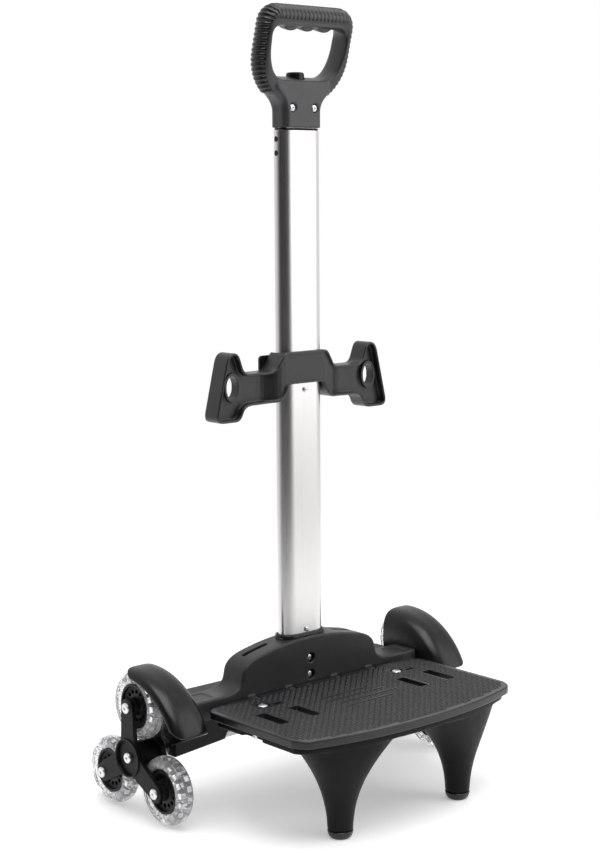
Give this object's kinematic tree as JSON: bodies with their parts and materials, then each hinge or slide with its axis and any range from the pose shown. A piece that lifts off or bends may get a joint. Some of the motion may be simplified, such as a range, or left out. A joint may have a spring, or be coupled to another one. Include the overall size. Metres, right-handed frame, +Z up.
{
  "type": "stair-climbing bag trolley",
  "caption": "Stair-climbing bag trolley: three-wheel clusters, folding foot plate on legs, flat-oval mast with bag bracket and telescopic D handle.",
  "frame": {"origin": "middle of the footprint on the floor: half way between the foot plate's front edge and the rear tyres, and half way between the outer bolt heads", "axes": "+Z up along the mast, +X along the wheel axle towards the right-hand wheels, -Y towards the front, where the foot plate is"},
  "size_m": [0.41, 0.3026, 0.8096],
  "materials": {
    "black_plastic": "satin moulded black with a fine grain",
    "dark_plastic": "matt moulded black",
    "grip_rubber": "soft ribbed black overmould",
    "anodised_aluminium": "satin anodised silver, drawn lengthwise",
    "plated_steel": "bright zinc plate",
    "clear_polyurethane": "clear cast polyurethane, glossy"
  },
  "bodies": {
    "base": {"base_housing": "black_plastic", "housing_screw_lower": "plated_steel", "housing_screw_upper": "plated_steel", "hinge_pin": "plated_steel", "axle_carrier": "dark_plastic", "axle": "plated_steel", "mast_tube": "anodised_aluminium", "mast_bushing": "black_plastic", "mast_collar": "black_plastic", "mast_screw_lower": "plated_steel", "mast_screw_upper": "plated_steel", "bag_bracket": "black_plastic", "bracket_clamp": "dark_plastic", "bracket_screw_left": "plated_steel", "bracket_screw_right": "plated_steel", "fender_left": "black_plastic", "fender_right": "black_plastic", "hub_bolt_left": "plated_steel", "hub_bolt_right": "plated_steel"},
    "foot_plate": {"foot_plate": "black_plastic", "plate_bolt_left": "plated_steel", "plate_bolt_right": "plated_steel", "leg_frame": "black_plastic", "deck_screw_left": "plated_steel", "deck_screw_right": "plated_steel", "foot_cap_left": "grip_rubber", "foot_cap_right": "grip_rubber"},
    "handle": {"handle_frame": "black_plastic", "handle_grip": "grip_rubber", "handle_screw_left": "plated_steel", "handle_screw_right": "plated_steel", "inner_tube": "anodised_aluminium", "inner_plug": "dark_plastic", "button_spring": "plated_steel"},
    "release_button": {"release_button": "dark_plastic", "push_rod": "plated_steel"},
    "lock_pin": {"lock_pin": "plated_steel"},
    "star_left": {"star_outer_left": "black_plastic", "star_inner_left": "dark_plastic", "wheel_bolt_left_1": "plated_steel", "wheel_bolt_left_2": "plated_steel", "wheel_bolt_left_3": "plated_steel"},
    "wheel_left_1": {"wheel_core_left_1": "dark_plastic", "tyre_left_1": "clear_polyurethane"},
    "wheel_left_2": {"wheel_core_left_2": "dark_plastic", "tyre_left_2": "clear_polyurethane"},
    "wheel_left_3": {"wheel_core_left_3": "dark_plastic", "tyre_left_3": "clear_polyurethane"},
    "star_right": {"star_outer_right": "black_plastic", "star_inner_right": "dark_plastic", "wheel_bolt_right_1": "plated_steel", "wheel_bolt_right_2": "plated_steel", "wheel_bolt_right_3": "plated_steel"},
    "wheel_right_1": {"wheel_core_right_1": "dark_plastic", "tyre_right_1": "clear_polyurethane"},
    "wheel_right_2": {"wheel_core_right_2": "dark_plastic", "tyre_right_2": "clear_polyurethane"},
    "wheel_right_3": {"wheel_core_right_3": "dark_plastic", "tyre_right_3": "clear_polyurethane"}
  },
  "joints": [
    {"name": "handle_slide", "type": "slide", "parent": "base", "child": "handle", "axis": [0, 0, 1], "range_m": [0, 0.25]},
    {"name": "button_press", "type": "slide", "parent": "handle", "child": "release_button", "axis": [0, 0, -1], "range_m": [0, 0.005], "stiffness_N_per_m": 400, "springref_m": -0.004, "deforming": ["button_spring"]},
    {"name": "lock_pin_slide", "type": "slide", "parent": "handle", "child": "lock_pin", "axis": [0, -1, 0], "range_m": [0, 0.0025]},
    {"name": "plate_fold", "type": "hinge", "parent": "base", "child": "foot_plate", "pos_m": [0, 0.01656, 0.108], "axis": [-1, 0, 0], "range_deg": [0, 90]},
    {"name": "star_left_turn", "type": "hinge", "parent": "base", "child": "star_left", "pos_m": [-0.186, 0.07166, 0.0608], "axis": [1, 0, 0], "continuous": true},
    {"name": "wheel_left_1_spin", "type": "hinge", "parent": "star_left", "child": "wheel_left_1", "pos_m": [-0.186, 0.07166, 0.1124], "axis": [1, 0, 0], "continuous": true},
    {"name": "wheel_left_2_spin", "type": "hinge", "parent": "star_left", "child": "wheel_left_2", "pos_m": [-0.186, 0.02697, 0.035], "axis": [1, 0, 0], "continuous": true},
    {"name": "wheel_left_3_spin", "type": "hinge", "parent": "star_left", "child": "wheel_left_3", "pos_m": [-0.186, 0.11634, 0.035], "axis": [1, 0, 0], "continuous": true},
    {"name": "star_right_turn", "type": "hinge", "parent": "base", "child": "star_right", "pos_m": [0.186, 0.07166, 0.0608], "axis": [1, 0, 0], "continuous": true},
    {"name": "wheel_right_1_spin", "type": "hinge", "parent": "star_right", "child": "wheel_right_1", "pos_m": [0.186, 0.07166, 0.1124], "axis": [1, 0, 0], "continuous": true},
    {"name": "wheel_right_2_spin", "type": "hinge", "parent": "star_right", "child": "wheel_right_2", "pos_m": [0.186, 0.02697, 0.035], "axis": [1, 0, 0], "continuous": true},
    {"name": "wheel_right_3_spin", "type": "hinge", "parent": "star_right", "child": "wheel_right_3", "pos_m": [0.186, 0.11634, 0.035], "axis": [1, 0, 0], "continuous": true}
  ],
  "couplings": [
    {"joint": "lock_pin_slide", "follows": "button_press", "ratio": 0.5}
  ]
}
